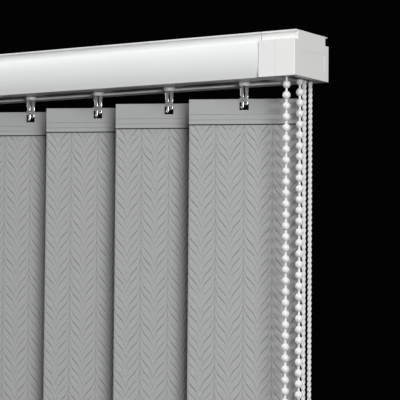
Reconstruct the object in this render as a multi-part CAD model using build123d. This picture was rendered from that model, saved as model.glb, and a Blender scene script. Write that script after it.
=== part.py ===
from build123d import *
import math
import os

# Vertical blind: a headrail with a control end, carriers that slide and tilt, and fabric vanes.
# X runs along the rail with the control end at +X, the room is at -Y, Z is up.
# The origin is the middle of the rail's top face, which goes against the ceiling or its brackets.

# The whole blind
vane_count = 6
vane_pitch = 50.8
vane_width = 63.0
blind_drop = 500.0
control_margin = 43.3
idler_margin = 40.0
rest_turn_degrees = 23.4
overrun = 1.0

# Headrail, an extrusion with bracket grooves, a bowed front and a slot below
rail_height = 25.4
rail_wall = 1.25
lip_thickness = 0.8
lip_front = 17.6
lip_rear = 18.5
groove_height = 4.8
groove_front = 16.2
groove_rear = 16.0
fascia_top = 18.3
fascia_bulge = 19.6
fascia_foot = 17.6
fascia_bulge_fall = 6.6
fascia_curl = 0.6
rail_rear = 20.0
slot_half = 6.4
slot_bead_height = 0.8
slot_bead_width = 1.0
shoulder = lip_thickness + groove_height

# End pieces, which carry the rail's outline on with a flat front
end_front = 20.0
end_groove_height = 4.3
end_edge = 0.35
seam_gap = 0.4
parting_gap = 0.15
end_wall = 1.6
cover_width = 12.2
housing_width = 10.7
idler_width = 14.0
bulkhead = 2.0
spigot_length = 7.0
spigot_wall = 1.2
spigot_clearance = 0.15
panel_recess = 0.1
panel_margin = 5.0
panel_height = 9.0
panel_radius = 2.0
outlet_half = 16.6
outlet_inset = 4.4
outlet_radius = 3.0
window_side = 2.2

# Tilt rod, a square bar that turns every worm
rod_side = 2.6
rod_offset = 6.0
rod_drop = 13.0
rod_clearance = 0.12
bearing_clearance = 0.2
bearing_boss_wall = 1.4
bearing_boss_length = 1.4
rod_end_gap = 0.3

# Bead chain and the wheel that it turns
bead_diameter = 4.5
bead_pitch = 6.0
bead_sides = 8
bead_flat_share = 0.5
bead_cap_share = 0.45
link_diameter = 1.3
wheel_pitches = 8
chain_inset = 8.4
chain_front_lead = 4.5
chain_rear_lead = 1.3
chain_straight_pitches = 38
chain_wrap_pitches = 5
chain_clearance = 0.4
wheel_width = 6.2
wheel_flange_rise = 0.9
wheel_floor_half = 1.85
wheel_floor_radius = 4.9
wheel_pocket_clearance = 0.45

# Traverse cord, its pulleys and its weight
cord_diameter = 2.4
cord_front = 7.0
cord_rear = 14.0
cord_run_drop = 9.7
cord_clearance = 0.3
pulley_groove_radius = 5.0
pulley_flange = 1.1
pulley_width = 3.9
pulley_rim = 0.3
pulley_floor_half = 1.0
pulley_side_gap = 0.2
axle_radius = 1.0
axle_clearance = 0.1
axle_head_radius = 1.7
axle_head = 0.5
web_boss_wall = 1.4
spindle_radius = 1.4
shelf_thickness = 1.4
cord_loop_bottom = 292.0
weight_width = 13.0
weight_thickness = 7.6
weight_height = 34.0
weight_shoulder = 4.0
weight_foot_share = 0.62
weight_slot = 4.4

# Carrier, a moulded frame that slides on the slot's lips
carrier_length = 14.0
carrier_half_depth = 9.0
carrier_floor = 1.5
carrier_plate = 1.5
carrier_top_gap = 0.45
carrier_run_gap = 0.1
wing_length = 8.0
wing_gap = 0.3
neck_radius = 3.4
neck_bore_radius = 2.45
neck_reach = 1.9
neck_chamfer = 0.4
stem_gap = 0.15

# Worm, and the toothed head of the stem that it turns
worm_radius = 2.6
worm_journal_radius = 2.3
journal_gap = 0.12
worm_end_gap = 0.2
gear_teeth = 12
gear_tip_radius = 3.1
gear_root_radius = 2.3
gear_rise = 2.8
gear_height = 5.75
tooth_tip_share = 0.28
tooth_root_share = 0.62

# Hook stem, clear plastic, with two legs, a jaw behind the hanger, a short lip before it and a peg
stem_radius = 2.3
hook_width = 5.0
hook_thickness = 4.4
hook_reach = 6.1
hook_lead = 0.5
hook_slit = 0.5
hook_slit_margin = 1.1
hook_lip_reach = 0.9
peg_width = 3.4
peg_height = 2.2
peg_tip_gap = 0.2

# Hanger, a moulded strip that grips the top of the fabric
hanger_fall = 9.1
hanger_height = 14.2
hanger_edge = 0.35
hanger_thickness = 2.0
hanger_clearance = 0.15
hanger_hole_width = 5.4
hanger_hole_top = 1.6
hanger_hole_height = 4.7
hanger_groove_depth = 0.35
hanger_groove_height = 0.6
hanger_groove_shares = (0.63, 0.845)
hanger_ridge = 0.3
hanger_ridge_height = 0.9
hanger_slot_depth = 7.0

# Fabric vane with a folded pocket at its foot, and the flat weight in it
fabric_thickness = 0.5
fabric_clearance = 0.1
pocket_height = 30.0
pocket_taper = 6.0
plate_width = 57.0
plate_height = 20.0
plate_thickness = 1.6
plate_clearance = 0.15
plate_corner = 3.0

# Spacer strips, which set how far apart the carriers can go
strip_thickness = 0.35
strip_width = 4.2
strip_rise = 0.85
strip_near = 4.1
strip_lift = 1.25
strip_overhang = 2.6
strip_hole_radius = 0.8
strip_clearance = 0.25

# Places worked out from the sizes above
blind_length = control_margin + (vane_count - 1) * vane_pitch + idler_margin
end_face = blind_length / 2
part_line = end_face - cover_width
rail_right = part_line - housing_width
rail_left = -end_face + idler_width
rod_half = rod_side / 2
rod_reach = rod_half * math.sqrt(2)
rod_bearing_radius = rod_reach + bearing_clearance
wheel_pitch_radius = (chain_wrap_pitches * bead_pitch - chain_front_lead - chain_rear_lead) / math.pi
chain_x = end_face - chain_inset
pulley_x = chain_x - pulley_groove_radius
pulley_drop = cord_run_drop + pulley_groove_radius
pulley_outer = pulley_groove_radius + pulley_flange
cord_mid = (cord_front + cord_rear) / 2
cord_half_gap = (cord_rear - cord_front) / 2
return_x = rail_left - idler_width / 2 + end_wall / 2
lip_top_drop = rail_height - rail_wall
end_shoulder = lip_thickness + end_groove_height
carrier_top_drop = shoulder + rail_wall + carrier_top_gap
carrier_foot_drop = lip_top_drop - carrier_run_gap
carrier_floor_drop = carrier_foot_drop - carrier_floor
strip_base_drop = carrier_floor_drop - strip_lift
gear_top_drop = rod_drop - gear_rise
gear_foot_drop = gear_top_drop + gear_height
neck_top_drop = gear_foot_drop + stem_gap
neck_foot_drop = rail_height + neck_reach
jaw_gap = hanger_thickness + 2 * hanger_clearance
hanger_top_drop = rail_height + hanger_fall
hanger_foot_drop = hanger_top_drop + hanger_height
hook_foot_drop = hanger_top_drop + hook_reach
carrier_places = [end_face - control_margin - i * vane_pitch for i in range(vane_count)]

parts = {}


# Makes a closed flat outline from corner points
def outline(points):
    return make_face(Polyline(*points, close=True))


# Makes a bar along X from an outline drawn in Y and Z
def bar_along_x(face, start, length):
    return extrude(Plane.YZ.offset(start) * face, amount=length)


# Makes a box from its lowest and highest corners
def block(low, high):
    size = [b - a for a, b in zip(low, high)]
    return Pos(*low) * Box(*size, align=(Align.MIN, Align.MIN, Align.MIN))


# Makes a round bar along one axis, from a start point
def round_bar(start, direction, radius, length):
    return extrude(Plane(start, z_dir=direction) * Circle(radius), amount=length)


# The outline that both end pieces share, drawn in Y and Z
def end_outline():
    return outline([
        (-lip_front, 0),
        (lip_rear, 0),
        (lip_rear, -lip_thickness),
        (groove_rear, -lip_thickness),
        (groove_rear, -end_shoulder),
        (rail_rear, -end_shoulder),
        (rail_rear, -rail_height),
        (-end_front, -rail_height),
        (-end_front, -end_shoulder),
        (-groove_front, -end_shoulder),
        (-groove_front, -lip_thickness),
        (-lip_front, -lip_thickness),
    ])


# The hollow of an end piece, one wall inside its outline
def end_hollow():
    return outline([
        (-groove_front + end_wall, -end_wall),
        (groove_rear - end_wall, -end_wall),
        (groove_rear - end_wall, -end_shoulder - end_wall),
        (rail_rear - end_wall, -end_shoulder - end_wall),
        (rail_rear - end_wall, -rail_height + end_wall),
        (-end_front + end_wall, -rail_height + end_wall),
        (-end_front + end_wall, -end_shoulder - end_wall),
        (-groove_front + end_wall, -end_shoulder - end_wall),
    ])


# An end piece's outer block, with the edges of one end face rounded
def end_block(start, length, outer_side):
    body = bar_along_x(end_outline(), start, length)
    outer = body.faces().sort_by(Axis.X)[outer_side].edges()
    return fillet(outer, radius=end_edge)


# A ring that plugs into the rail's lower hollow
def spigot(start):
    front = fascia_foot - rail_wall - fascia_curl / 2 - spigot_clearance
    rear = rail_rear - rail_wall - spigot_clearance
    top = shoulder + rail_wall + spigot_clearance
    foot = lip_top_drop - spigot_clearance
    ring = block((start, -front, -foot), (start + spigot_length, rear, -top))
    hole = block(
        (start - overrun, -front + spigot_wall, -foot + spigot_wall),
        (start + spigot_length + overrun, rear - spigot_wall, -top - spigot_wall),
    )
    return ring - hole


# Headrail: the bowed front is an arc, its foot curls under, and the slot's rear lip has a bead below it
def make_headrail():
    top = (-fascia_top, -shoulder)
    bulge = (-fascia_bulge, -shoulder - fascia_bulge_fall)
    foot = (-fascia_foot, -rail_height + fascia_curl)
    curl_end = (-fascia_foot + fascia_curl, -rail_height)
    front = ThreePointArc(top, bulge, foot)
    curl = TangentArc(foot, curl_end, tangent=(0, -1))
    rest = Polyline(
        curl_end,
        (rail_rear, -rail_height),
        (rail_rear, -shoulder),
        (groove_rear, -shoulder),
        (groove_rear, -lip_thickness),
        (lip_rear, -lip_thickness),
        (lip_rear, 0),
        (-lip_front, 0),
        (-lip_front, -lip_thickness),
        (-groove_front, -lip_thickness),
        (-groove_front, -shoulder),
        top,
    )
    skin = make_face([front, curl, rest])
    neck_front = -groove_front + rail_wall
    neck_rear = groove_rear - rail_wall
    ceiling = -shoulder - rail_wall
    inner_top = (-fascia_top + rail_wall, ceiling)
    inner_bulge = (-fascia_bulge + rail_wall, -shoulder - fascia_bulge_fall)
    inner_foot = (-fascia_foot + rail_wall + fascia_curl / 2, -lip_top_drop)
    inner_front = ThreePointArc(inner_top, inner_bulge, inner_foot)
    inner_rest = Polyline(
        inner_foot,
        (rail_rear - rail_wall, -lip_top_drop),
        (rail_rear - rail_wall, ceiling),
        (neck_rear, ceiling),
        (neck_rear, -rail_wall),
        (neck_front, -rail_wall),
        (neck_front, ceiling),
        inner_top,
    )
    hollow = make_face([inner_front, inner_rest])
    slot = Pos(0, -rail_height) * Rectangle(2 * slot_half, 2 * rail_wall + overrun)
    bead_middle = slot_half + slot_bead_width / 2
    bead = Pos(bead_middle, -rail_height) * Rectangle(slot_bead_width, 2 * slot_bead_height)
    section = skin - hollow - slot + bead
    return bar_along_x(section, rail_left + seam_gap, rail_right - rail_left - 2 * seam_gap)


# Control housing: carries the rod's bearing and, on a web, the axle of the two cord pulleys
def make_control_housing():
    shell = end_block(rail_right, housing_width, 0)
    hollow = bar_along_x(end_hollow(), rail_right + bulkhead, housing_width - bulkhead + overrun)
    bearing = round_bar((rail_right - overrun, -rod_offset, -rod_drop), (1, 0, 0),
                        rod_bearing_radius, bulkhead + 2 * overrun)
    window = block(
        (rail_right - overrun, cord_front - window_side, -cord_run_drop - window_side),
        (rail_right + bulkhead + overrun, cord_rear + window_side, -cord_run_drop + window_side),
    )
    web_front = cord_front + pulley_width / 2 + pulley_side_gap
    web_rear = cord_rear - pulley_width / 2 - pulley_side_gap
    boss_radius = axle_radius + axle_clearance + web_boss_wall
    web = block(
        (pulley_x - boss_radius, web_front, -pulley_drop),
        (pulley_x + boss_radius, web_rear, -end_wall + overrun),
    )
    web = web & bar_along_x(end_hollow(), rail_right, housing_width + boss_radius)
    boss = round_bar((pulley_x, web_front, -pulley_drop), (0, 1, 0), boss_radius, web_rear - web_front)
    axle_hole = round_bar((pulley_x, web_front - overrun, -pulley_drop), (0, 1, 0),
                          axle_radius + axle_clearance / 2, web_rear - web_front + 2 * overrun)
    shell = shell - hollow + spigot(rail_right - spigot_length)
    return shell + web + boss - bearing - window - axle_hole


# Control end cover: a cup with an open outlet below for the chain and the cord
def make_control_cover():
    shell = end_block(part_line + parting_gap, cover_width - parting_gap, -1)
    hollow = bar_along_x(end_hollow(), part_line - overrun, cover_width - end_wall + overrun)
    outlet_plan = RectangleRounded(2 * (cover_width - outlet_inset), 2 * outlet_half, outlet_radius)
    outlet = extrude(Pos(part_line, 0, -rail_height - overrun) * outlet_plan, amount=end_wall + 2 * overrun)
    panel_plan = RectangleRounded(rail_rear + end_front - 2 * panel_margin, panel_height, panel_radius)
    panel_middle = -(end_shoulder + rail_height) / 2
    panel = extrude(Plane.YZ.offset(end_face - panel_recess) * Pos(0, panel_middle) * panel_plan,
                    amount=panel_recess + overrun)
    inner_face = end_face - end_wall
    boss = round_bar((inner_face, -rod_offset, -rod_drop), (-1, 0, 0),
                     rod_bearing_radius + bearing_boss_wall, bearing_boss_length)
    bearing = round_bar((inner_face - bearing_boss_length - overrun, -rod_offset, -rod_drop), (1, 0, 0),
                        rod_bearing_radius, bearing_boss_length + overrun)
    return shell - hollow - outlet - panel + boss - bearing


# Idler end cap: closes the far end and carries the return pulley on a spindle
def make_idler_cap():
    outer_face = -end_face
    inner_face = outer_face + end_wall
    shell = end_block(outer_face, idler_width, 0)
    hollow = bar_along_x(end_hollow(), inner_face, idler_width - end_wall + overrun)
    boss = round_bar((inner_face, -rod_offset, -rod_drop), (1, 0, 0),
                     rod_bearing_radius + bearing_boss_wall, bearing_boss_length)
    bearing = round_bar((inner_face, -rod_offset, -rod_drop), (1, 0, 0),
                        rod_bearing_radius, bearing_boss_length + overrun)
    shelf_top = -cord_run_drop - pulley_width / 2 - pulley_side_gap
    spindle = round_bar((return_x, cord_mid, -end_wall), (0, 0, -1), spindle_radius, -end_wall - shelf_top)
    shelf = block(
        (inner_face, cord_mid - pulley_outer, shelf_top - shelf_thickness),
        (return_x + spindle_radius, rail_rear - end_wall, shelf_top),
    )
    return shell - hollow + boss - bearing + spindle + shelf + spigot(rail_left)


# Tilt rod: a square bar from the control cover's bearing to the idler cap's
def make_tilt_rod():
    start = -end_face + end_wall + rod_end_gap
    end = end_face - end_wall - rod_end_gap
    return bar_along_x(Pos(-rod_offset, -rod_drop) * Rectangle(rod_side, rod_side), start, end - start)


# Chain wheel: a groove with a pocket for each bead, on the end of the rod
def make_chain_wheel():
    rim = wheel_pitch_radius + wheel_flange_rise
    half = wheel_width / 2
    mouth = bead_diameter / 2 + chain_clearance
    profile = outline([
        (0, -half),
        (rim, -half),
        (rim, -mouth),
        (wheel_floor_radius, -wheel_floor_half),
        (wheel_floor_radius, wheel_floor_half),
        (rim, mouth),
        (rim, half),
        (0, half),
    ])
    wheel = revolve(profile, Axis.Y)
    bore = Box(rod_side, wheel_width + overrun, rod_side)
    pocket = Sphere(bead_diameter / 2 + wheel_pocket_clearance)
    step = 360 / wheel_pitches
    pockets = [Rot(0, i * step, 0) * Pos(wheel_pitch_radius, 0, 0) * pocket for i in range(wheel_pitches)]
    wheel = wheel - pockets - bore
    return Pos(chain_x, -rod_offset, -rod_drop) * Rot(0, 0, 90) * wheel


# One bead with a stub of its link on each side, faceted, standing along Z
def make_bead(reach):
    radius = bead_diameter / 2
    cap = radius * bead_cap_share
    flat = radius * bead_flat_share
    slope = math.degrees(math.atan2((radius - cap) * math.cos(math.pi / bead_sides), radius - flat))
    stub = extrude(Pos(0, 0, -reach) * RegularPolygon(link_diameter / 2, bead_sides), amount=2 * reach)
    waist = RegularPolygon(radius, bead_sides)
    half = extrude(waist, amount=flat) + extrude(Pos(0, 0, flat) * waist, amount=radius - flat, taper=slope)
    return half + mirror(half, about=Plane.XY) + stub


# Bead chain: two straight strands joined over the wheel and at the foot of the loop
def make_bead_chain():
    straight_bead = make_bead(bead_pitch / 2)
    bend = bead_pitch / wheel_pitch_radius
    bent_bead = make_bead(wheel_pitch_radius * math.tan(bend / 2) + link_diameter / 4)
    front = -rod_offset - wheel_pitch_radius
    rear = -rod_offset + wheel_pitch_radius
    top_front = -rod_drop - chain_front_lead
    top_rear = -rod_drop - chain_rear_lead
    foot = top_front - chain_straight_pitches * bead_pitch - chain_rear_lead
    chain = []
    for i in range(chain_straight_pitches + 1):
        fall = i * bead_pitch
        chain.append(Pos(chain_x, front, top_front - fall) * straight_bead)
        chain.append(Pos(chain_x, rear, top_rear - fall) * straight_bead)
    for lead, height, side in ((chain_front_lead, -rod_drop, 1), (chain_rear_lead, foot, -1)):
        for i in range(1, chain_wrap_pitches):
            angle = math.degrees((i * bead_pitch - lead) / wheel_pitch_radius)
            turn = Pos(chain_x, -rod_offset, height) * Rot(-side * angle, 0, 0)
            chain.append(turn * Pos(0, -wheel_pitch_radius, 0) * bent_bead)
    return chain[0].fuse(*chain[1:])


# Cord pulley with a rounded groove, lying along its own Z axis
def make_pulley(groove_radius, bore_radius):
    outer = groove_radius + pulley_flange
    half = pulley_width / 2
    floor = groove_radius - cord_diameter / 2 - cord_clearance
    groove_half = half - pulley_rim
    profile = outline([
        (bore_radius, -half),
        (outer, -half),
        (outer, -groove_half),
        (floor, -pulley_floor_half),
        (floor, pulley_floor_half),
        (outer, groove_half),
        (outer, half),
        (bore_radius, half),
    ])
    return Rot(90, 0, 0) * revolve(profile, Axis.Y)


# Axle of the two cord pulleys, with a head at each end
def make_pulley_axle():
    front = cord_front - pulley_width / 2 - pulley_side_gap
    rear = cord_rear + pulley_width / 2 + pulley_side_gap
    pin = round_bar((pulley_x, front, -pulley_drop), (0, 1, 0), axle_radius, rear - front)
    head = round_bar((pulley_x, front, -pulley_drop), (0, -1, 0), axle_head_radius, axle_head)
    tail = round_bar((pulley_x, rear, -pulley_drop), (0, 1, 0), axle_head_radius, axle_head)
    return pin + head + tail


# Sweeps the cord's round section along a path
def cord_tube(path):
    start = path @ 0
    return sweep(Plane(start, z_dir=path % 0) * Circle(cord_diameter / 2), path=path)


# Cord inside the rail: up from the outlet, over a pulley, along and back round the return pulley
def make_cord_runs():
    outlet_drop = -rail_height
    turn = pulley_groove_radius
    run = -cord_run_drop
    front_up = Line((chain_x, cord_front, outlet_drop), (chain_x, cord_front, run - turn))
    front_turn = TangentArc((chain_x, cord_front, run - turn), (pulley_x, cord_front, run),
                            tangent=(0, 0, 1))
    front_run = Line((pulley_x, cord_front, run), (return_x, cord_front, run))
    back_turn = ThreePointArc((return_x, cord_front, run), (return_x - cord_half_gap, cord_mid, run),
                              (return_x, cord_rear, run))
    rear_run = Line((return_x, cord_rear, run), (pulley_x, cord_rear, run))
    rear_turn = TangentArc((pulley_x, cord_rear, run), (chain_x, cord_rear, run - turn), tangent=(1, 0, 0))
    rear_down = Line((chain_x, cord_rear, run - turn), (chain_x, cord_rear, outlet_drop))
    return cord_tube(Wire([front_up, front_turn, front_run, back_turn, rear_run, rear_turn, rear_down]))


# Hanging loop of the cord: down, round the weight's wheel and up again
def make_cord_loop():
    turn_height = -cord_loop_bottom + cord_half_gap
    down = Line((chain_x, cord_front, -rail_height), (chain_x, cord_front, turn_height))
    turn = ThreePointArc((chain_x, cord_front, turn_height), (chain_x, cord_mid, -cord_loop_bottom),
                         (chain_x, cord_rear, turn_height))
    up = Line((chain_x, cord_rear, turn_height), (chain_x, cord_rear, -rail_height))
    return cord_tube(Wire([down, turn, up]))


# Cord weight: a tapered moulding with a slot for its wheel and the cord
def make_cord_weight():
    wheel_height = -cord_loop_bottom + cord_half_gap
    top = wheel_height + weight_shoulder
    half = weight_width / 2
    foot_half = half * weight_foot_share
    face = outline([
        (cord_mid - half, top),
        (cord_mid + half, top),
        (cord_mid + half, wheel_height),
        (cord_mid + foot_half, top - weight_height),
        (cord_mid - foot_half, top - weight_height),
        (cord_mid - half, wheel_height),
    ])
    body = bar_along_x(face, chain_x - weight_thickness / 2, weight_thickness)
    body = fillet(body.edges().filter_by(Axis.X), radius=weight_shoulder / 2)
    reach = cord_half_gap + cord_diameter / 2 + cord_clearance
    slot = block(
        (chain_x - weight_slot / 2, cord_mid - reach, wheel_height),
        (chain_x + weight_slot / 2, cord_mid + reach, top + overrun),
    )
    well = round_bar((chain_x - weight_slot / 2, cord_mid, wheel_height), (1, 0, 0), reach, weight_slot)
    pin_hole = round_bar((chain_x - weight_thickness, cord_mid, wheel_height), (1, 0, 0),
                         axle_radius, 2 * weight_thickness)
    return body - slot - well - pin_hole


# Pin of the weight's wheel
def make_weight_pin():
    height = -cord_loop_bottom + cord_half_gap
    start = chain_x - weight_thickness / 2
    return round_bar((start, cord_mid, height), (1, 0, 0), axle_radius, weight_thickness)


# Carrier frame, drawn about its own stem axis at X zero
def make_carrier():
    half = carrier_length / 2
    wing_front = fascia_foot - rail_wall - fascia_curl / 2 - wing_gap
    wing_rear = rail_rear - rail_wall - wing_gap
    floor = block((-half, -carrier_half_depth, -carrier_foot_drop),
                  (half, carrier_half_depth, -carrier_floor_drop))
    wings = block((-wing_length / 2, -wing_front, -carrier_foot_drop),
                  (wing_length / 2, wing_rear, -carrier_floor_drop))
    plate = block((0, -carrier_half_depth, -carrier_foot_drop),
                  (carrier_plate, carrier_half_depth, -carrier_top_drop))
    neck = round_bar((0, 0, -neck_foot_drop), (0, 0, 1), neck_radius, neck_foot_drop - neck_top_drop)
    neck = chamfer(neck.edges().group_by(Axis.Z)[0], length=neck_chamfer)
    bore = round_bar((0, 0, -neck_foot_drop - overrun), (0, 0, 1), neck_bore_radius,
                     neck_foot_drop - neck_top_drop + 2 * overrun)
    bearing = round_bar((-half - overrun, -rod_offset, -rod_drop), (1, 0, 0),
                        worm_journal_radius + journal_gap, carrier_length + 2 * overrun)
    cord_hole = round_bar((-half - overrun, cord_front, -cord_run_drop), (1, 0, 0),
                          cord_diameter / 2 + cord_clearance, carrier_length + 2 * overrun)
    strip_top = strip_base_drop - (vane_count - 2) * strip_rise - strip_thickness
    window = block(
        (-half - overrun, strip_near - strip_clearance, -strip_base_drop - strip_clearance),
        (half + overrun, strip_near + strip_width + strip_clearance, -strip_top + strip_clearance),
    )
    plates = Pos(-half, 0, 0) * plate + Pos(half - carrier_plate, 0, 0) * plate
    return floor + wings + plates + neck - bore - bearing - cord_hole - window


# Worm, drawn at its own root size on the rod's axis
def make_worm():
    inner = carrier_length / 2 - carrier_plate - worm_end_gap
    barrel = round_bar((-inner, -rod_offset, -rod_drop), (1, 0, 0), worm_radius, 2 * inner)
    journal = round_bar((-carrier_length / 2, -rod_offset, -rod_drop), (1, 0, 0),
                        worm_journal_radius, carrier_length)
    bore_side = rod_side + 2 * rod_clearance
    bore = Pos(0, -rod_offset, -rod_drop) * Box(carrier_length + overrun, bore_side, bore_side)
    return barrel + journal - bore


# Hook stem: toothed head, round shaft, then two legs that straddle the hanger's top and a peg in its hole
def make_stem():
    pitch_angle = 2 * math.pi / gear_teeth
    corners = []
    for i in range(gear_teeth):
        for radius, share in (
            (gear_root_radius, -tooth_root_share),
            (gear_tip_radius, -tooth_tip_share),
            (gear_tip_radius, tooth_tip_share),
            (gear_root_radius, tooth_root_share),
        ):
            angle = (i + share / 2) * pitch_angle
            corners.append((radius * math.cos(angle), radius * math.sin(angle)))
    head = extrude(Pos(0, 0, -gear_foot_drop) * outline(corners), amount=gear_height)
    hook_top = neck_foot_drop + stem_gap
    shaft = round_bar((0, 0, -hook_top), (0, 0, 1), stem_radius, hook_top - gear_foot_drop)
    half_width = hook_width / 2
    half_depth = hook_thickness / 2
    half_gap = jaw_gap / 2
    gap_top = hanger_top_drop - hanger_clearance
    lip_foot = hanger_top_drop + hook_lip_reach
    legs = block((-half_width, -half_depth, -gap_top), (half_width, half_depth, -hook_top))
    slit = block((-hook_slit / 2, -hook_thickness, -gap_top + hook_slit_margin),
                 (hook_slit / 2, hook_thickness, -hook_top - hook_slit_margin))
    lip = block((-half_width, -half_depth, -lip_foot), (half_width, -half_gap, -gap_top))
    jaw = block((-half_width, half_gap, -hook_foot_drop), (half_width, half_depth, -gap_top))
    jaw = chamfer(jaw.edges().group_by(Axis.Z)[0].filter_by(Axis.X).sort_by(Axis.Y)[-1], length=hook_lead)
    peg_middle = hanger_top_drop + hanger_hole_top + hanger_hole_height / 2
    peg = block((-peg_width / 2, -half_gap + peg_tip_gap, -peg_middle - peg_height / 2),
                (peg_width / 2, half_gap, -peg_middle + peg_height / 2))
    return head + shaft + (legs - slit) + lip + jaw + peg


# Hanger: a strip with two grooves and a bottom ridge on each face, a hole for the hook and a slot below
def make_hanger():
    half = hanger_thickness / 2
    grooves = []
    for share in hanger_groove_shares:
        middle = -hanger_top_drop - hanger_height * share
        for side in (-1, 1):
            groove = Rectangle(2 * hanger_groove_depth, hanger_groove_height)
            grooves.append(Pos(side * half, middle) * groove)
    strip = Pos(0, -hanger_top_drop - hanger_height / 2) * Rectangle(hanger_thickness, hanger_height)
    strip = fillet(strip.vertices().group_by(Axis.Y)[-1], radius=hanger_edge)
    ridge_middle = -hanger_foot_drop + hanger_ridge_height / 2
    ridge = Pos(0, ridge_middle) * Rectangle(hanger_thickness + 2 * hanger_ridge, hanger_ridge_height)
    slot_width = fabric_thickness + 2 * fabric_clearance
    slot = Pos(0, -hanger_foot_drop) * Rectangle(slot_width, 2 * hanger_slot_depth)
    section = strip + ridge - grooves - slot
    bar = bar_along_x(section, -vane_width / 2, vane_width)
    hole_top = hanger_top_drop + hanger_hole_top
    hole = block((-hanger_hole_width / 2, -hanger_thickness, -hole_top - hanger_hole_height),
                 (hanger_hole_width / 2, hanger_thickness, -hole_top))
    return bar - hole


# Fabric vane: a flat cloth whose foot is folded up and welded into an open-ended pocket
def make_vane():
    half = fabric_thickness / 2
    top = -hanger_foot_drop + hanger_slot_depth - fabric_clearance
    foot = -blind_drop
    room = plate_thickness / 2 + plate_clearance
    outer = room + fabric_thickness
    pocket_top = foot + pocket_height
    skin = outline([
        (-half, top),
        (half, top),
        (half, pocket_top),
        (outer, pocket_top - pocket_taper),
        (outer, foot + fabric_thickness),
        (room, foot),
        (-room, foot),
        (-outer, foot + fabric_thickness),
        (-outer, pocket_top - pocket_taper),
        (-half, pocket_top),
    ])
    pocket = outline([
        (0, pocket_top - fabric_thickness),
        (room, pocket_top - pocket_taper),
        (room, foot + fabric_thickness),
        (-room, foot + fabric_thickness),
        (-room, pocket_top - pocket_taper),
    ])
    return bar_along_x(skin - pocket, -vane_width / 2, vane_width)


# Flat weight in the vane's pocket
def make_bottom_weight():
    middle = -blind_drop + fabric_thickness + plate_clearance + plate_height / 2
    plan = RectangleRounded(plate_width, plate_height, plate_corner)
    return extrude(Plane.XZ.offset(-plate_thickness / 2) * Pos(0, middle) * plan, amount=plate_thickness)


# Spacer strip from one carrier, through the next, on a level of its own
def make_spacer(level):
    near = carrier_length / 2
    far = -vane_pitch - carrier_length / 2 - strip_overhang
    base = -strip_base_drop + level * strip_rise
    strip = block((far, strip_near, base), (near, strip_near + strip_width, base + strip_thickness))
    ends = strip.edges().filter_by(Axis.Z)
    strip = fillet(ends, radius=strip_width / 4)
    hole_x = far + strip_overhang / 2 + strip_hole_radius
    hole = round_bar((hole_x, strip_near + strip_width / 2, base - overrun), (0, 0, 1),
                     strip_hole_radius, strip_thickness + 2 * overrun)
    return strip - hole


parts["headrail"] = make_headrail()
parts["control_housing"] = make_control_housing()
parts["control_end_cover"] = make_control_cover()
parts["idler_end_cap"] = make_idler_cap()
parts["tilt_rod"] = make_tilt_rod()
parts["chain_wheel"] = make_chain_wheel()
parts["bead_chain"] = make_bead_chain()
parts["pulley_axle"] = make_pulley_axle()
cord_pulley = make_pulley(pulley_groove_radius, axle_radius + axle_clearance)
parts["front_cord_pulley"] = Pos(pulley_x, cord_front, -pulley_drop) * Rot(90, 0, 0) * cord_pulley
parts["rear_cord_pulley"] = Pos(pulley_x, cord_rear, -pulley_drop) * Rot(90, 0, 0) * cord_pulley
return_pulley = make_pulley(cord_half_gap, spindle_radius + axle_clearance)
parts["return_pulley"] = Pos(return_x, cord_mid, -cord_run_drop) * return_pulley
parts["cord_runs"] = make_cord_runs()
parts["cord_loop"] = make_cord_loop()
parts["cord_weight"] = make_cord_weight()
weight_wheel = make_pulley(cord_half_gap, axle_radius + axle_clearance)
weight_wheel_place = Pos(chain_x, cord_mid, -cord_loop_bottom + cord_half_gap)
parts["weight_wheel"] = weight_wheel_place * Rot(0, 90, 0) * weight_wheel
parts["weight_pin"] = make_weight_pin()

carrier = make_carrier()
worm = make_worm()
stem = make_stem()
hanger = make_hanger()
vane = make_vane()
bottom_weight = make_bottom_weight()
for i, place in enumerate(carrier_places):
    number = i + 1
    turned = Pos(place, 0, 0) * Rot(0, 0, rest_turn_degrees)
    parts[f"carrier_{number}"] = Pos(place, 0, 0) * carrier
    parts[f"worm_{number}"] = Pos(place, 0, 0) * worm
    parts[f"hook_stem_{number}"] = turned * stem
    parts[f"hanger_{number}"] = turned * hanger
    parts[f"vane_{number}"] = turned * vane
    parts[f"bottom_weight_{number}"] = turned * bottom_weight
    if number < vane_count:
        parts[f"spacer_{number}"] = Pos(place, 0, 0) * make_spacer(i)

os.makedirs("parts", exist_ok=True)
for name, shape in parts.items():
    export_step(shape, f"parts/{name}.step")
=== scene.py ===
import math

import bmesh
import bpy
import numpy as np
from mathutils import Matrix, Vector


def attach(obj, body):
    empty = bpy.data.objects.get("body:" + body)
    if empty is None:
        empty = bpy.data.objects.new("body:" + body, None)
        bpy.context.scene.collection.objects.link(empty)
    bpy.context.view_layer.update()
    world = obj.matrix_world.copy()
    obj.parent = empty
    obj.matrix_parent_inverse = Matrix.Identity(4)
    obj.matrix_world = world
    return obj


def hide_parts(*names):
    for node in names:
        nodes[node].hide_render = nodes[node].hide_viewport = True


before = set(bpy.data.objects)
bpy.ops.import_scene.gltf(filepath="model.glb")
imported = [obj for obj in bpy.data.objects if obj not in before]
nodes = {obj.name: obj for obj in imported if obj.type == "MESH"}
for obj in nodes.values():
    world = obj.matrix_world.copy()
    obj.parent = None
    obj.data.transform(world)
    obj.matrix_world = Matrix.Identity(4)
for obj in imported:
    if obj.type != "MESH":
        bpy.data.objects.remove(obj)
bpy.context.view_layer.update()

# Headrail
# The rail is one aluminium extrusion, powder coated white in the factory and cut to length.
# Brackets grip the lips along its top, and the carriers run on the lips of the slot below.
mm = 0.001


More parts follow.
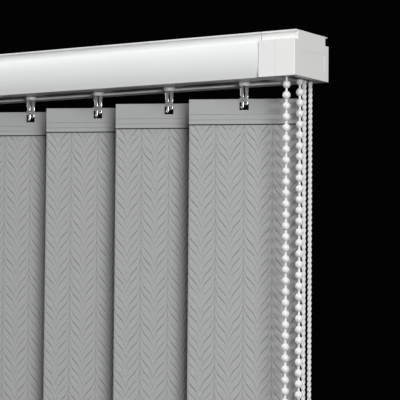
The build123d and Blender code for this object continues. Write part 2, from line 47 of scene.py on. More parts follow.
# Turns an sRGB hex colour into the linear numbers that a shader takes
def linear(colour):
    channels = [int(colour[i:i + 2], 16) / 255 for i in (1, 3, 5)]
    return tuple(c / 12.92 if c <= 0.04045 else ((c + 0.055) / 1.055) ** 2.4 for c in channels) + (1.0,)


# Adds a node: settings are its properties or its sockets' values, links are what its sockets read
def add(tree, kind, settings=None, links=None):
    node = tree.nodes.new(kind)
    for name, value in (settings or {}).items():
        if isinstance(name, str) and hasattr(node, name):
            setattr(node, name, value)
        else:
            node.inputs[name].default_value = value
    for name, source in (links or {}).items():
        tree.links.new(node.inputs[name], source)
    return node


# Starts a material from its finish, and gives back the material, its nodes and its main shader
def start_finish(name, settings):
    material = bpy.data.materials.new(name)
    material.use_nodes = True
    tree = material.node_tree
    tree.nodes.clear()
    shader = add(tree, "ShaderNodeBsdfPrincipled", settings)
    add(tree, "ShaderNodeOutputMaterial", {}, {"Surface": shader.outputs["BSDF"]})
    return material, tree, shader


# Blends two colours by a share that a socket gives: the first is a fixed colour or a socket that gives one
def blend(tree, share, first, second):
    node = add(tree, "ShaderNodeMix", {"data_type": "RGBA", 7: second}, {"Factor": share})
    if isinstance(first, tuple):
        node.inputs[6].default_value = first
    else:
        tree.links.new(node.inputs[6], first)
    return node.outputs[2]


# Colours a surface with two tones in soft patches and roughens it with grains, both of real size
def mottle(tree, shader, tones, patch_size, grain_size, grain_depth, stretch=(1.0, 1.0, 1.0)):
    place = add(tree, "ShaderNodeTexCoord").outputs["Object"]
    along = add(tree, "ShaderNodeMapping", {"Scale": stretch}, {"Vector": place}).outputs["Vector"]
    patch = add(tree, "ShaderNodeTexNoise", {"Scale": 1 / patch_size, "Detail": 2.0}, {"Vector": along})
    tone = blend(tree, patch.outputs["Fac"], linear(tones[0]), linear(tones[1]))
    tree.links.new(shader.inputs["Base Color"], tone)
    grain = add(tree, "ShaderNodeTexNoise", {"Scale": 1 / grain_size, "Detail": 1.5}, {"Vector": along})
    bump = add(tree, "ShaderNodeBump", {"Strength": 0.5, "Distance": grain_depth},
               {"Height": grain.outputs["Fac"]})
    tree.links.new(shader.inputs["Normal"], bump.outputs["Normal"])


# Puts a finish on pieces of the frame
def dress(names, material):
    for name in names:
        mesh = nodes[name].data
        mesh.materials.clear()
        mesh.materials.append(material)


# Powder coat on aluminium: cured polyester, satin, with the faint orange peel left as the powder flowed
def powder_coated_aluminium():
    material, tree, shader = start_finish("powder_coated_aluminium", {"Roughness": 0.38, "IOR": 1.5})
    mottle(tree, shader, ("#F4F5F5", "#EFF0F0"), patch_size=45 * mm, grain_size=1.4 * mm,
           grain_depth=0.012 * mm)
    return material


dress(["headrail"], powder_coated_aluminium())

# Control end and far end cap
# Each is an injection moulding in white ABS that plugs into the rail's end with a spigot.
# The control end is two mouldings with a parting line between them, round the chain wheel.


# White ABS: moulded in a spark-eroded tool, so it is satin with a very fine, even grain
def white_moulded_abs():
    material, tree, shader = start_finish("white_moulded_abs", {"Roughness": 0.44, "IOR": 1.53})
    mottle(tree, shader, ("#F2F2F1", "#EFEFEE"), patch_size=30 * mm, grain_size=0.7 * mm,
           grain_depth=0.02 * mm)
    return material


dress(["control_housing", "control_end_cover", "idler_end_cap"], white_moulded_abs())

# Tilt rod
# A drawn square bar of bare aluminium that runs the rail's length through every worm.
# It turns in bearings in the end pieces, and the chain wheel sits on its end.


# Mill aluminium: drawn through a die, so it is bright with fine lines along its length
def mill_aluminium():
    material, tree, shader = start_finish("mill_aluminium", {"Roughness": 0.34, "Metallic": 1.0})
    mottle(tree, shader, ("#C9CACC", "#B9BBBD"), patch_size=6 * mm, grain_size=0.5 * mm,
           grain_depth=0.01 * mm, stretch=(0.04, 1.0, 1.0))
    return material


dress(["tilt_rod"], mill_aluminium())

# Carriers, worms, chain wheel and pulleys
# Low-friction mouldings in natural white acetal: the carriers slide on the slot's lips, each with a
# worm on the rod, and the wheels turn on the rod or on steel pins.
vane_numbers = range(1, 7)


# Natural acetal: a waxy, slightly translucent white with a soft gloss
def white_acetal():
    material, tree, shader = start_finish("white_acetal", {
        "Roughness": 0.36, "IOR": 1.48, "Subsurface Weight": 0.25, "Subsurface Scale": 1.0 * mm,
        "Subsurface Radius": (1.0, 1.0, 1.0),
    })
    mottle(tree, shader, ("#EFEFED", "#E8E8E6"), patch_size=9 * mm, grain_size=0.8 * mm,
           grain_depth=0.015 * mm)
    return material


acetal_pieces = ["chain_wheel", "front_cord_pulley", "rear_cord_pulley", "return_pulley", "weight_wheel"]
acetal_pieces += [f"carrier_{n}" for n in vane_numbers] + [f"worm_{n}" for n in vane_numbers]
dress(acetal_pieces, white_acetal())

# Spacer strips, pulley axle and weight pin
# The strips are slit from spring steel, and each pulls the next carrier along when the blind is drawn.
# The axle and the pin are cut from drawn steel wire, and the cord's wheels turn on them.


# Bright steel: cold rolled or drawn, grey and shiny, with lines along the strip
def bright_steel():
    material, tree, shader = start_finish("bright_steel", {"Roughness": 0.26, "Metallic": 1.0})
    mottle(tree, shader, ("#BFC1C4", "#A9ACB0"), patch_size=5 * mm, grain_size=0.4 * mm,
           grain_depth=0.008 * mm, stretch=(0.05, 1.0, 1.0))
    return material


dress([f"spacer_{n}" for n in range(1, 6)] + ["pulley_axle", "weight_pin"], bright_steel())

# Bead chain
# One moulded loop of white plastic beads, joined by thin necks of the same plastic.
# It hangs over the pocketed wheel in the control end, which turns the rod and so tilts the vanes.
chain_x = 160.25 * mm
wheel_y = -6.0 * mm
wheel_z = -13.0 * mm
chain_radius = 7.703 * mm
bead_pitch = 6.0 * mm
bead_radius = 2.25 * mm
neck_radius = 0.65 * mm
front_lead = 4.5 * mm
rear_lead = 1.3 * mm
straight_pitches = 38
wrap_pitches = 5
bead_sides = 18
bead_rings = 13
crease_angle = math.radians(45)


# Half section of a bead with the necks that reach towards its neighbours, as radius and height
def bead_section(reach):
    start = math.asin(neck_radius / bead_radius)
    angles = [start + (math.pi - 2 * start) * i / (bead_rings - 1) for i in range(bead_rings)]
    ball = [(bead_radius * math.sin(a), -bead_radius * math.cos(a)) for a in angles]
    return [(neck_radius, -reach)] + ball + [(neck_radius, reach)]


# Turns a section about the Z axis into a closed skin of corners and faces
def turned_skin(section, sides):
    corners = [(0.0, 0.0, section[0][1])]
    for radius, height in section:
        for i in range(sides):
            angle = 2 * math.pi * i / sides
            corners.append((radius * math.cos(angle), radius * math.sin(angle), height))
    corners.append((0.0, 0.0, section[-1][1]))
    last = len(corners) - 1
    faces = []
    for i in range(sides):
        j = (i + 1) % sides
        faces.append((0, 1 + j, 1 + i))
        for ring in range(len(section) - 1):
            low = 1 + ring * sides
            faces.append((low + i, low + j, low + sides + j, low + sides + i))
        top = 1 + (len(section) - 1) * sides
        faces.append((top + i, top + j, last))
    return np.array(corners), faces


# Makes a mesh from corners and faces, with smooth shading and one material
def make_mesh(name, corners, faces, material):
    mesh = bpy.data.meshes.new(name)
    mesh.from_pydata(np.asarray(corners).tolist(), [], faces)
    mesh.shade_smooth()
    mesh.materials.append(material)
    return mesh


# Puts an object with this mesh, lamp or lens into the scene
def put(name, data):
    piece = bpy.data.objects.new(name, data)
    bpy.context.scene.collection.objects.link(piece)
    return piece


# White chain plastic: unfilled, glossy and a little see-through, so the beads glow at their edges
def white_chain_plastic():
    material, tree, shader = start_finish("white_chain_plastic", {
        "Roughness": 0.3, "IOR": 1.49, "Subsurface Weight": 0.2, "Subsurface Scale": 0.8 * mm,
        "Subsurface Radius": (1.0, 1.0, 1.0),
    })
    mottle(tree, shader, ("#EEEEED", "#E9E9E8"), patch_size=12 * mm, grain_size=1.0 * mm,
           grain_depth=0.02 * mm)
    return material


# Where each bead is and how it is turned: down both strands, over the wheel and round the foot of the loop
def bead_places():
    foot = wheel_z - front_lead - straight_pitches * bead_pitch - rear_lead
    places = []
    for i in range(straight_pitches + 1):
        for side, lead in ((-1, front_lead), (1, rear_lead)):
            strand = Vector((chain_x, wheel_y + side * chain_radius, wheel_z - lead - i * bead_pitch))
            places.append((Matrix.Translation(strand), False))
    for lead, height, side in ((front_lead, wheel_z, 1), (rear_lead, foot, -1)):
        for i in range(1, wrap_pitches):
            angle = (i * bead_pitch - lead) / chain_radius
            hub = Matrix.Translation((chain_x, wheel_y, height)) @ Matrix.Rotation(-side * angle, 4, "X")
            places.append((hub @ Matrix.Translation((0, -chain_radius, 0)), True))
    return places


# The whole loop as one mesh, with longer necks on the beads that go round a bend
def make_bead_chain():
    bend = bead_pitch / chain_radius
    straight = turned_skin(bead_section(bead_pitch / 2), bead_sides)
    bent = turned_skin(bead_section(chain_radius * math.tan(bend / 2) + neck_radius / 2), bead_sides)
    corners = []
    faces = []
    for place, is_bent in bead_places():
        shape, shape_faces = bent if is_bent else straight
        turn = np.array(place.to_3x3())
        first = sum(len(c) for c in corners)
        corners.append(shape @ turn.T + np.array(place.translation))
        faces += [tuple(first + i for i in face) for face in shape_faces]
    mesh = make_mesh("bead_chain_loop", np.concatenate(corners), faces, white_chain_plastic())
    mesh.set_sharp_from_angle(angle=crease_angle)
    return put("bead_chain_loop", mesh)


bead_chain = make_bead_chain()
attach(bead_chain, "rail")
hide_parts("bead_chain")

# Traverse cord
# A three-strand plait of white polyester draws the carriers: it runs inside the rail over the pulleys,
# and its loop hangs from the control end with a weight in its fold.
cord_front = 7.0 * mm
cord_rear = 14.0 * mm
cord_exit = -25.4 * mm
cord_diameter = 2.4 * mm
strand_count = 3
strand_radius = 0.46 * mm
plait_depth = 0.5 * mm
plait_lay = 9.0 * mm
strand_step = 0.7 * mm
strand_sides = 8
cord_route = [
    (chain_x, cord_front, cord_exit),
    (chain_x, cord_front, -274.0 * mm),
    (chain_x, cord_front, -289.95 * mm),
    (chain_x, 9.05 * mm, -292.0 * mm),
    (chain_x, 11.95 * mm, -292.0 * mm),
    (chain_x, cord_rear, -289.95 * mm),
    (chain_x, cord_rear, -274.0 * mm),
    (chain_x, cord_rear, cord_exit),
]


# Points along a smooth line that has the route's points as its control points
def smooth_line(route):
    curve = bpy.data.curves.new("cord_line", "CURVE")
    curve.dimensions = "3D"
    spline = curve.splines.new("NURBS")
    spline.points.add(len(route) - 1)
    for point, place in zip(spline.points, route):
        point.co = (*place, 1.0)
    spline.order_u = 3
    spline.use_endpoint_u = True
    spline.resolution_u = 48
    holder = bpy.data.objects.new("cord_line", curve)
    mesh = bpy.data.meshes.new_from_object(holder)
    points = np.array([v.co[:] for v in mesh.vertices])
    bpy.data.objects.remove(holder)
    bpy.data.curves.remove(curve)
    bpy.data.meshes.remove(mesh)
    return points


# Walks a line in even steps, and gives the points, the way along and the distance run
def even_steps(points, step):
    runs = np.concatenate([[0.0], np.cumsum(np.linalg.norm(np.diff(points, axis=0), axis=1))])
    count = int(round(runs[-1] / step)) + 1
    run = np.linspace(0.0, runs[-1], count)
    even = np.stack([np.interp(run, runs, points[:, axis]) for axis in range(3)], axis=1)
    along = np.gradient(even, axis=0)
    return even, along / np.linalg.norm(along, axis=1, keepdims=True), run


# Polyester braid: bright filaments laid nearly along each strand, with dark gaps between the strands
def plaited_polyester():
    material, tree, shader = start_finish("plaited_polyester", {
        "Roughness": 0.55, "IOR": 1.55, "Sheen Weight": 0.15, "Sheen Roughness": 0.4,
    })
    mottle(tree, shader, ("#F2F2F0", "#DCDCDA"), patch_size=1.2 * mm, grain_size=0.5 * mm,
           grain_depth=0.06 * mm, stretch=(1.0, 1.0, 0.35))
    return material


# Faces that join rings of corners into a closed tube, with both its ends capped
def tube_faces(first, ring_count, sides):
    faces = []
    for ring in range(ring_count - 1):
        low = first + ring * sides
        for i in range(sides):
            j = (i + 1) % sides
            faces.append((low + i, low + j, low + sides + j, low + sides + i))
    last = first + (ring_count - 1) * sides
    faces.append(tuple(first + i for i in reversed(range(sides))))
    faces.append(tuple(last + i for i in range(sides)))
    return faces


# Three round strands that cross over each other along the line
def make_plait(name, line, material):
    points, along, run = even_steps(line, strand_step)
    across = np.tile(np.array([1.0, 0.0, 0.0]), (len(points), 1))
    through = np.cross(along, across)
    reach = cord_diameter / 2 - strand_radius
    around = np.linspace(0.0, 2 * math.pi, strand_sides, endpoint=False)
    corners = []
    faces = []
    for strand in range(strand_count):
        phase = 2 * math.pi * (run / plait_lay + strand / strand_count)
        middle = (points + across * (reach * np.sin(phase))[:, None]
                  + through * (plait_depth * np.sin(2 * phase))[:, None])
        way = np.gradient(middle, axis=0)
        way /= np.linalg.norm(way, axis=1, keepdims=True)
        side = np.cross(way, through)
        side /= np.linalg.norm(side, axis=1, keepdims=True)
        face_way = np.cross(way, side)
        rings = (middle[:, None, :]
                 + strand_radius * np.cos(around)[None, :, None] * side[:, None, :]
                 + strand_radius * np.sin(around)[None, :, None] * face_way[:, None, :])
        faces += tube_faces(sum(len(c) for c in corners), len(points), strand_sides)
        corners.append(rings.reshape(-1, 3))
    return put(name, make_mesh(name, np.concatenate(corners), faces, material))


cord_finish = plaited_polyester()
cord_line = smooth_line(cord_route)
cord_loop = make_plait("traverse_cord_loop", cord_line, cord_finish)
dress(["cord_runs"], cord_finish)
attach(cord_loop, "rail")
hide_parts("cord_loop")

# Cord weight
# A small moulding of the same white ABS as the end pieces, heavy enough to keep the loop straight.
# The cord goes round the wheel inside it, and the wheel turns on the steel pin.
dress(["cord_weight"], nodes["control_housing"].data.materials[0])

# Hook stems
# Clear polycarbonate mouldings: a toothed head in the carrier, and two springy prongs below it that go
# behind the hanger and come through its hole, with a saddle over its top edge.
first_carrier = 125.35 * mm
carrier_pitch = 50.8 * mm
vane_turn = math.radians(23.4)
gear_teeth = 12
gear_tip = 3.1 * mm
gear_root = 2.3 * mm
gear_top = -10.2 * mm
gear_foot = -15.95 * mm
stem_foot = -27.45 * mm
stem_sides = 32
bar_sides = 20
# Below 1, a bar's oval section fills out towards a rectangle
bar_roundness = 0.7
# Each point of a bar's middle line in millimetres, with the bar's half width and half depth there
left_prong = [
    (-1.45, 0.0, -27.2, 1.05, 2.1), (-1.4, 0.0, -28.8, 0.98, 1.9), (-1.3, 0.1, -32.6, 0.86, 1.6),
    (-1.25, 0.9, -34.0, 0.85, 1.0), (-1.25, 1.65, -35.2, 0.85, 0.5), (-1.25, 1.7, -37.4, 0.85, 0.5),
    (-1.2, 1.3, -38.8, 0.8, 0.5), (-1.1, 0.2, -39.5, 0.75, 0.5), (-1.0, -0.7, -39.5, 0.6, 0.4),
]
right_prong = [
    (1.45, 0.0, -27.2, 1.05, 2.1), (1.4, 0.0, -28.8, 0.98, 1.9), (1.3, 0.1, -32.6, 0.86, 1.6),
    (1.25, 0.9, -34.0, 0.85, 1.0), (1.25, 1.65, -35.2, 0.85, 0.5), (1.25, 1.7, -36.4, 0.85, 0.5),
    (1.2, 1.2, -37.3, 0.8, 0.5), (1.05, 0.2, -37.7, 0.7, 0.5), (0.9, -0.7, -37.6, 0.55, 0.4),
]
saddle_top = [(0.0, -2.1, -33.9, 2.2, 0.4), (0.0, 2.1, -33.9, 2.2, 0.4)]
saddle_front = [
    (0.0, -1.7, -33.7, 2.2, 0.5), (0.0, -1.7, -34.6, 2.3, 0.5), (0.0, -1.65, -35.4, 2.0, 0.35),
]


# Rings of a rounded section along a bar's middle line
def bar_rings(bar):
    bar = np.array(bar) * mm
    points = bar[:, :3]
    way = np.gradient(points, axis=0)
    way /= np.linalg.norm(way, axis=1, keepdims=True)
    side = np.array([1.0, 0.0, 0.0]) - way * way[:, :1]
    side /= np.linalg.norm(side, axis=1, keepdims=True)
    through = np.cross(way, side)
    around = np.linspace(0.0, 2 * math.pi, bar_sides, endpoint=False)
    across = np.sign(np.cos(around)) * np.abs(np.cos(around)) ** bar_roundness
    deep = np.sign(np.sin(around)) * np.abs(np.sin(around)) ** bar_roundness
    return (points[:, None, :] + (bar[:, 3:4] * across)[:, :, None] * side[:, None, :]
            + (bar[:, 4:5] * deep)[:, :, None] * through[:, None, :])


# Rings of an upright bar whose outline is given by one radius for each step round it
def upright_rings(radii, foot, top):
    angles = np.linspace(0.0, 2 * math.pi, len(radii), endpoint=False)
    ring = np.stack([radii * np.cos(angles), radii * np.sin(angles), np.zeros(len(radii))], axis=1)
    return np.stack([ring + (0.0, 0.0, foot), ring + (0.0, 0.0, top)])


# The toothed head, the shaft below it, the two prongs and the saddle, as one mesh
def make_hook_mesh(material):
    teeth = np.tile([gear_tip, gear_tip, gear_root, gear_root], gear_teeth)
    shaft = np.full(stem_sides, gear_root)
    tubes = [upright_rings(teeth, gear_foot, gear_top), upright_rings(shaft, stem_foot, gear_foot)]
    tubes += [bar_rings(bar) for bar in (left_prong, right_prong, saddle_top, saddle_front)]
    corners = []
    faces = []
    for rings in tubes:
        faces += tube_faces(sum(len(c) for c in corners), rings.shape[0], rings.shape[1])
        corners.append(rings.reshape(-1, 3))
    mesh = make_mesh("hook_clip", np.concatenate(corners), faces, material)
    mesh.set_sharp_from_angle(angle=crease_angle)
    return mesh


# Clear polycarbonate: polished tool faces, so it is glassy, with a little haze from handling
def clear_polycarbonate():
    material, tree, shader = start_finish("clear_polycarbonate", {
        "IOR": 1.585, "Transmission Weight": 0.78, "Base Color": linear("#F4F6F7"),
    })
    place = add(tree, "ShaderNodeTexCoord").outputs["Object"]
    haze = add(tree, "ShaderNodeTexNoise", {"Scale": 1 / (1.5 * mm), "Detail": 2.0}, {"Vector": place})
    rough = add(tree, "ShaderNodeMapRange", {"To Min": 0.04, "To Max": 0.12}, {"Value": haze.outputs["Fac"]})
    tree.links.new(shader.inputs["Roughness"], rough.outputs["Result"])
    return material


# Puts a piece under a carrier, turned as the vanes are at rest, and lets it turn with the vane
def put_under_carrier(name, mesh, number):
    piece = put(f"{name}_{number}", mesh)
    place = Matrix.Translation((first_carrier - carrier_pitch * (number - 1), 0, 0))
    piece.matrix_world = place @ Matrix.Rotation(vane_turn, 4, "Z")
    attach(piece, f"vane_{number}")
    return piece


hook_mesh = make_hook_mesh(clear_polycarbonate())
for number in vane_numbers:
    hook = put_under_carrier("hook_clip", hook_mesh, number)
    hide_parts(f"hook_stem_{number}")

# Hangers
# A grey moulded strip, welded over the top edge of each vane.
# The prongs of the hook come through the hole in its middle.


# Grey moulded plastic: polypropylene in the fabric's shade, smooth with a soft sheen
def grey_polypropylene():
    material, tree, shader = start_finish("grey_polypropylene", {"Roughness": 0.42, "IOR": 1.49})
    mottle(tree, shader, ("#A9AAAA", "#A3A4A4"), patch_size=25 * mm, grain_size=0.9 * mm,
           grain_depth=0.02 * mm)
    return material


dress([f"hanger_{n}" for n in vane_numbers], grey_polypropylene())

# Vanes
# Each vane is a stiffened grey jacquard, woven with raised wheat ears and cut to width with a hot knife.
# Its top is welded in the hanger, and its foot is folded up and welded into a pocket for the weight.
vane_width = 63.0 * mm
vane_top = -41.8 * mm
vane_foot = -500.0 * mm
hanger_foot = -48.7 * mm
# A painted shadow below the hanger: a dark line this far below its foot, with an edge this soft
hanger_shadow_drop = 0.4 * mm
hanger_shadow_blur = 0.4 * mm
cloth_half = 0.25 * mm
pocket_top = -470.0 * mm
pocket_full = -476.0 * mm
pocket_half = 1.2 * mm
flap_rise = 3.0 * mm
ear_width = 16.2 * mm
ear_pitch = 5.45 * mm
ear_rise = 15.0 * mm
ear_curl = 0.62
ear_relief = 0.3 * mm
ear_fade = 3.0 * mm
# Where the mesh has columns in half an ear and rows in a stroke, as shares of their width
column_shares = (0.0, 0.07, 0.25, 0.5, 0.75, 0.93)
row_shares = (0.0, 0.05, 0.12, 0.28, 0.72, 0.88, 0.95)
# A groove has a raised lip on both sides, deepens from its stem to the middle and ends in a line of tips
groove_shares = (0.0, 0.05, 0.12, 0.28)
groove_depths = (1.0, 0.4, -0.15, 0.0)
stroke_shares = (0.0, 0.1, 0.3, 0.8, 1.0)
stroke_depths = (0.4, 0.75, 1.0, 1.0, 0.7)
tip_shares = (0.93, 1.0)
tip_depths = (0.0, 0.35)
back_relief_share = 0.6
# No two strokes of a weave are quite alike: each is shifted a little, and pressed more or less
stroke_sway = 0.35 * mm
sway_width = 5.3 * mm
sway_turn = 2.1
press_spread = 0.2
press_turn = 1.7
# The cloth hangs in slight waves that start below the hanger
cloth_wave = 0.25 * mm
wave_across = 21 * mm
wave_slant = 90 * mm
wave_down = 62 * mm
wave_start = 60 * mm
edge_margin = 0.2 * mm
join_distance = 0.001 * mm
cut_distance = 0.01 * mm
bend_reach = 0.6 * mm
fold_steps = 12
flap_offset = 2.2 * cloth_half


# The cloth's line from its top edge down the front, round the fold and up the back, as Y and Z
def cloth_line():
    fold_middle = vane_foot + cloth_half + pocket_half
    fold = [math.pi * i / fold_steps for i in range(fold_steps + 1)]
    line = [(0.0, vane_top), (0.0, pocket_top), (-pocket_half, pocket_full)]
    line += [(-pocket_half * math.cos(a), fold_middle - pocket_half * math.sin(a)) for a in fold]
    line += [(pocket_half, pocket_full), (flap_offset, pocket_top), (flap_offset, pocket_top + flap_rise)]
    return np.array(line)


# How far up a wheat ear's stroke has risen at a share of the way from its stem to its tip
def stroke_rise(share):
    return ear_rise * (share + ear_curl * np.sin(2 * math.pi * share) / (2 * math.pi))


# Places of the mesh's columns across the cloth, from edge to edge
def cloth_columns():
    half_width = vane_width / 2
    half_ear = ear_width / 2
    ears = math.ceil(half_width / half_ear)
    columns = [(ear + share) * half_ear for ear in range(-ears, ears) for share in column_shares]
    inside = [x for x in columns if abs(x) < half_width - edge_margin]
    return np.array([-half_width] + inside + [half_width])


# Rows that follow the strokes, so that each groove is a line of the mesh: how far down the cloth each
# corner lies, and how deep it is pressed
def woven_rows(columns, length):
    share = 1 - 2 * np.abs((columns / ear_width + 0.5) % 1.0 - 0.5)
    stroke_count = math.ceil((length + ear_rise) / ear_pitch) + 1
    rows = np.array([k + r for k in range(-1, stroke_count) for r in row_shares] + [stroke_count])[:, None]
    stroke = np.floor(rows + 0.5)
    sway = stroke_sway * np.sin(columns / sway_width + sway_turn * stroke)
    run = np.clip(rows * ear_pitch - stroke_rise(share) + sway, 0.0, length)

    groove = np.interp(np.abs(rows - stroke), groove_shares, groove_depths)
    along = np.interp(share, stroke_shares, stroke_depths)
    press = 1 - press_spread + press_spread * np.sin(columns / sway_width + press_turn * stroke)
    tip = np.interp(share, tip_shares, tip_depths)
    depth = np.clip(groove * along * press + tip, min(groove_depths), 1.0)
    fade = np.clip(np.minimum(run, length - run) / ear_fade, 0.0, 1.0)
    return run, depth * fade


# Faces of a closed sheet, whose corners are a grid for its front and then one for its back
def sheet_faces(row_count, column_count):
    front = np.arange(row_count * column_count).reshape(row_count, column_count)
    back = front + row_count * column_count
    sides = [
        np.stack([front[:-1, :-1], front[1:, :-1], front[1:, 1:], front[:-1, 1:]], axis=2),
        np.stack([back[:-1, :-1], back[:-1, 1:], back[1:, 1:], back[1:, :-1]], axis=2),
        np.stack([front[:-1, 0], back[:-1, 0], back[1:, 0], front[1:, 0]], axis=1),
        np.stack([front[:-1, -1], front[1:, -1], back[1:, -1], back[:-1, -1]], axis=1),
        np.stack([front[0, :-1], front[0, 1:], back[0, 1:], back[0, :-1]], axis=1),
        np.stack([front[-1, :-1], back[-1, :-1], back[-1, 1:], front[-1, 1:]], axis=1),
    ]
    return np.concatenate([faces.reshape(-1, 4) for faces in sides]).tolist()


# Joins corners that lie on each other at the cloth's ends, and creases it across at each place in the list
def crease_cloth(mesh, creases):
    cloth = bmesh.new()
    cloth.from_mesh(mesh)
    bmesh.ops.remove_doubles(cloth, verts=cloth.verts, dist=join_distance)
    for place in creases:
        everything = cloth.verts[:] + cloth.edges[:] + cloth.faces[:]
        bmesh.ops.bisect_plane(cloth, geom=everything, dist=cut_distance, plane_co=(0, place, 0),
                               plane_no=(0, 1, 0))
    cloth.to_mesh(mesh)
    cloth.free()


# Bends the flat cloth, whose Y is the distance down it, along its line and into its slight waves
def hang_cloth(mesh, line, line_run):
    corners = np.empty(len(mesh.vertices) * 3)
    mesh.vertices.foreach_get("co", corners)
    x, run, offset = corners.reshape(-1, 3).T
    y, z = (np.interp(run, line_run, line[:, axis]) for axis in (0, 1))
    before = run - bend_reach
    after = run + bend_reach
    way_y, way_z = (
        np.interp(after, line_run, line[:, axis]) - np.interp(before, line_run, line[:, axis])
        for axis in (0, 1)
    )
    size = np.hypot(way_y, way_z)
    wave = cloth_wave * np.sin(x / wave_across + z / wave_slant) * np.sin((z - vane_top) / wave_down)
    wave = wave * np.clip((vane_top - z) / wave_start, 0.0, 1.0)
    hung = np.stack([x, y + wave + way_z / size * offset, z - way_y / size * offset], axis=1)
    mesh.vertices.foreach_set("co", hung.ravel())
    mesh.update()


# Woven cloth with raised wheat ears, made flat, creased and hung; gives the mesh and its length when flat
def make_vane_mesh(material):
    line = cloth_line()
    line_run = np.concatenate([[0.0], np.cumsum(np.linalg.norm(np.diff(line, axis=0), axis=1))])
    length = line_run[-1]
    columns = cloth_columns()
    run, depth = woven_rows(columns, length)
    x = np.broadcast_to(columns, run.shape)
    front = np.stack([x, run, cloth_half - ear_relief * depth], axis=2)
    back = np.stack([x, run, -cloth_half - back_relief_share * ear_relief * depth], axis=2)
    corners = np.concatenate([front.reshape(-1, 3), back.reshape(-1, 3)])
    mesh = make_mesh("vane_cloth", corners, sheet_faces(*run.shape), material)
    pressed = mesh.attributes.new("groove", "FLOAT", "POINT")
    pressed.data.foreach_set("value", np.tile(depth.ravel(), 2))
    crease_cloth(mesh, line_run[1:-1])
    hang_cloth(mesh, line, line_run)
    return mesh, length


# Stiffened jacquard: matt polyester yarn with raised ears and a fine, uneven thread. Painted shade darkens
# the grooves, and a dark painted shadow line lies where the hanger is welded on, standing in for the shade
# under its ridge.
# Real threads are about 0.3 mm apart, which is too fine to show here, so they are drawn at 0.9 mm.
def grey_jacquard():
    thread = 0.9 * mm
    material, tree, shader = start_finish("grey_jacquard", {
        "Roughness": 0.72, "IOR": 1.5, "Sheen Weight": 0.12, "Sheen Roughness": 0.5,
    })
    place = add(tree, "ShaderNodeTexCoord").outputs["Object"]
    pressed = add(tree, "ShaderNodeAttribute", {"attribute_name": "groove"}).outputs["Fac"]
    weave = add(tree, "ShaderNodeTexNoise", {"Scale": 1 / thread, "Detail": 2.0}, {"Vector": place})
    yarn = blend(tree, weave.outputs["Fac"], linear("#989999"), linear("#B6B7B7"))
    # Painted shade: the grooves turn darker grey as they deepen
    shade = blend(tree, pressed, yarn, linear("#6E6F70"))
    height = add(tree, "ShaderNodeSeparateXYZ", {}, {"Vector": place}).outputs["Z"]
    # Painted shadow: a dark line across the cloth just below the hanger, where its ridge would shade it
    hanger_shadow_foot = hanger_foot - hanger_shadow_drop
    in_hanger_shadow = add(tree, "ShaderNodeMapRange", {"From Min": hanger_shadow_foot - hanger_shadow_blur, "From Max": hanger_shadow_foot},
                 {"Value": height})
    painted_hanger_shadow = blend(tree, in_hanger_shadow.outputs["Result"], shade, linear("#3E3F40"))
    tree.links.new(shader.inputs["Base Color"], painted_hanger_shadow)
    bump = add(tree, "ShaderNodeBump", {"Strength": 0.8, "Distance": 0.1 * mm},
               {"Height": weave.outputs["Fac"]})
    tree.links.new(shader.inputs["Normal"], bump.outputs["Normal"])
    return material


vane_mesh, vane_length = make_vane_mesh(grey_jacquard())
for number in vane_numbers:
    cloth = put_under_carrier("vane_cloth", vane_mesh, number)
    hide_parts(f"vane_{number}")

# Bottom weights
# Flat steel plates, dipped in grey plastic.
# They slide into the pockets at the vanes' feet and keep the vanes straight.


# Dipped plastic coat on steel: thick, smooth and satin grey
def coated_weight_steel():
    material, tree, shader = start_finish("coated_weight_steel", {"Roughness": 0.4, "IOR": 1.5})
    mottle(tree, shader, ("#8E9091", "#868889"), patch_size=12 * mm, grain_size=1.5 * mm,
           grain_depth=0.05 * mm)
    return material


dress([f"bottom_weight_{n}" for n in vane_numbers], coated_weight_steel())

# Studio
# A pale floor below the vanes' feet, a dark room, and large soft lamps. The key lamp stands at the right, a
# strip lamp a little below the hooks lights what is under the rail, and two fill the left and the rear.
floor_gap = 15 * mm
floor_radius = 1.4
floor_sides = 96
lamp_target = Vector((0.0, 0.0, -150 * mm))


# Floor paint: matt and pale to the camera, and dark to all other light, so that it throws little of it up
# under the rail
def floor_paint():
    material, tree, shader = start_finish("floor_paint", {"Roughness": 0.9})
    seen = add(tree, "ShaderNodeLightPath").outputs["Is Camera Ray"]
    tree.links.new(shader.inputs["Base Color"], blend(tree, seen, linear("#262626"), linear("#BFBFBD")))
    return material


# The floor is a wide disc
def make_floor():
    angles = [2 * math.pi * i / floor_sides for i in range(floor_sides)]
    height = vane_foot - floor_gap
    corners = [(floor_radius * math.cos(a), floor_radius * math.sin(a), height) for a in angles]
    mesh = make_mesh("studio_floor", corners, [tuple(range(floor_sides))], floor_paint())
    put("studio_floor", mesh)


# A softbox at an azimuth and a height angle from the blind, turned to face it
def add_lamp(name, azimuth, rise, distance, width, height, power):
    lamp = bpy.data.lights.new(name, "AREA")
    lamp.shape = "RECTANGLE"
    lamp.size = width
    lamp.size_y = height
    lamp.energy = power
    turn = math.radians(azimuth)
    lift = math.radians(rise)
    way = Vector((math.sin(turn) * math.cos(lift), -math.cos(turn) * math.cos(lift), math.sin(lift)))
    place = Matrix.Translation(lamp_target + way * distance)
    put(name, lamp).matrix_world = place @ way.to_track_quat("Z", "Y").to_matrix().to_4x4()


make_floor()
add_lamp("key_lamp", azimuth=48, rise=21, distance=1.8, width=0.7, height=1.15, power=18)
add_lamp("low_lamp", azimuth=46, rise=3.2, distance=1.8, width=0.5, height=0.06, power=11)
add_lamp("side_lamp", azimuth=-60, rise=42, distance=2.0, width=0.8, height=0.8, power=17)
add_lamp("back_lamp", azimuth=240, rise=16, distance=2.0, width=0.9, height=0.9, power=26)

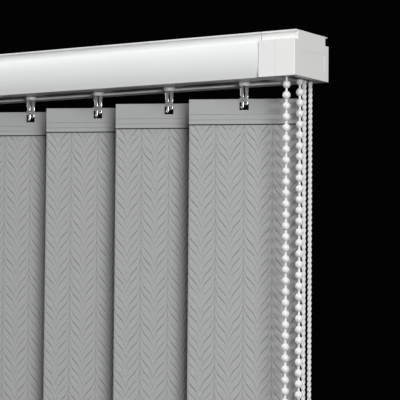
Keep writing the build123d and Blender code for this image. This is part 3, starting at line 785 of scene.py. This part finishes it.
# The room looks black, also through clear plastic, and gives a little soft light from above
world = bpy.data.worlds.new("dark_studio")
bpy.context.scene.world = world
world.use_nodes = True
world_tree = world.node_tree
world_tree.nodes.clear()
world_path = add(world_tree, "ShaderNodeLightPath")
seen = add(world_tree, "ShaderNodeMath", {"operation": "MAXIMUM"},
           {0: world_path.outputs["Is Camera Ray"], 1: world_path.outputs["Is Transmission Ray"]})
sky_way = add(world_tree, "ShaderNodeSeparateXYZ", {},
              {"Vector": add(world_tree, "ShaderNodeTexCoord").outputs["Generated"]})
sky_height = add(world_tree, "ShaderNodeMapRange",
                 {"From Min": -0.1, "From Max": 0.7, "To Min": 0.0, "To Max": 0.2},
                 {"Value": sky_way.outputs["Z"]})
dark_room = add(world_tree, "ShaderNodeBackground", {"Color": linear("#030303"), "Strength": 1.0})
soft_light = add(world_tree, "ShaderNodeBackground", {"Color": linear("#FFFFFF")},
                 {"Strength": sky_height.outputs["Result"]})
room = add(world_tree, "ShaderNodeMixShader", {}, {
    0: seen.outputs["Value"], 1: soft_light.outputs["Background"], 2: dark_room.outputs["Background"],
})
add(world_tree, "ShaderNodeOutputWorld", {}, {"Surface": room.outputs["Shader"]})
bpy.context.scene.view_settings.view_transform = "Standard"

# Camera
# At the photograph's place: right of the blind, a little below the rail and looking slightly up.
# It has a long lens, with no shift and no depth of field.
camera_place = Vector((598.2, -804.9, -140.2)) * mm
camera_turn = math.radians(31.949)
camera_rise = math.radians(2.957)
camera_lean = math.radians(0.438)
focal_pixels = 1652.0
frame_pixels = 400.0
camera_data = bpy.data.cameras.new("camera")
camera_data.sensor_width = 36.0
camera_data.lens = camera_data.sensor_width * focal_pixels / frame_pixels
camera_data.clip_start = 0.01
camera_data.clip_end = 50.0
camera = put("camera", camera_data)
camera.matrix_world = (
    Matrix.Translation(camera_place)
    @ Matrix.Rotation(camera_turn, 4, "Z")
    @ Matrix.Rotation(math.pi / 2 + camera_rise, 4, "X")
    @ Matrix.Rotation(camera_lean, 4, "Z")
)
bpy.context.scene.camera = camera
